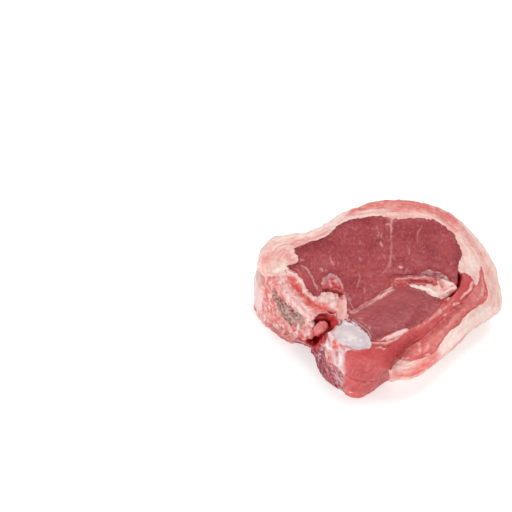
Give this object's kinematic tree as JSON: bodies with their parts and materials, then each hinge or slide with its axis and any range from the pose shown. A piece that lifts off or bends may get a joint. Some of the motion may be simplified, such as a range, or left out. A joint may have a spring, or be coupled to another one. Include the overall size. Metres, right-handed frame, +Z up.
{
  "type": "raw lamb loin chop",
  "caption": "Thick raw loin chop with a fat rim around a large round muscle, a small muscle and a thin flank, and sawn backbone at one side.",
  "frame": {"origin": "middle of the bounding box in plan, on the flat lower cut face that the chop rests on", "axes": "+X from the backbone towards the flank, +Y from the belly side towards the fat over the back, +Z up through the thickness of the cut"},
  "size_m": [0.0956, 0.0828, 0.0261],
  "materials": {
    "fat_cover": "firm cream and pink fat, moist, soft satin",
    "loin_eye": "raw lean meat, wet, fine grain with pale marbling",
    "multifidus": "raw lean meat, wet",
    "tenderloin": "raw lean meat, wet, fine grain",
    "flank_inner": "raw thin muscle with a smooth wet film, glossy",
    "flank_outer": "raw thin muscle, wet, streaked with fat",
    "seam_fat": "soft fat, moist satin",
    "transverse_process": "sawn spongy bone, red with a paler rim, matt and moist",
    "facet_cap": "sawn spongy bone, pinkish red, moist",
    "facet_process": "sawn compact bone, pink and white, moist satin",
    "spine_cartilage": "cartilage, whitish pink, moist satin",
    "lamina": "sawn bone with a red marrow band, moist satin",
    "vertebral_body": "sawn spongy bone, purplish red, moist",
    "disc": "disc cartilage, bluish white, smooth and glossy",
    "spinal_cord": "soft pink nerve tissue, wet",
    "canal_tissue": "dark bloody tissue across the spinal canal, wet"
  },
  "bodies": {
    "root": {"fat_cover": "fat_cover", "loin_eye": "loin_eye", "multifidus": "multifidus", "tenderloin": "tenderloin", "flank_inner": "flank_inner", "flank_outer": "flank_outer", "seam_fat": "seam_fat", "transverse_process": "transverse_process", "facet_cap": "facet_cap", "facet_process": "facet_process", "spine_cartilage": "spine_cartilage", "lamina": "lamina", "vertebral_body": "vertebral_body", "disc": "disc", "spinal_cord": "spinal_cord", "canal_tissue": "canal_tissue"}
  },
  "joints": []
}
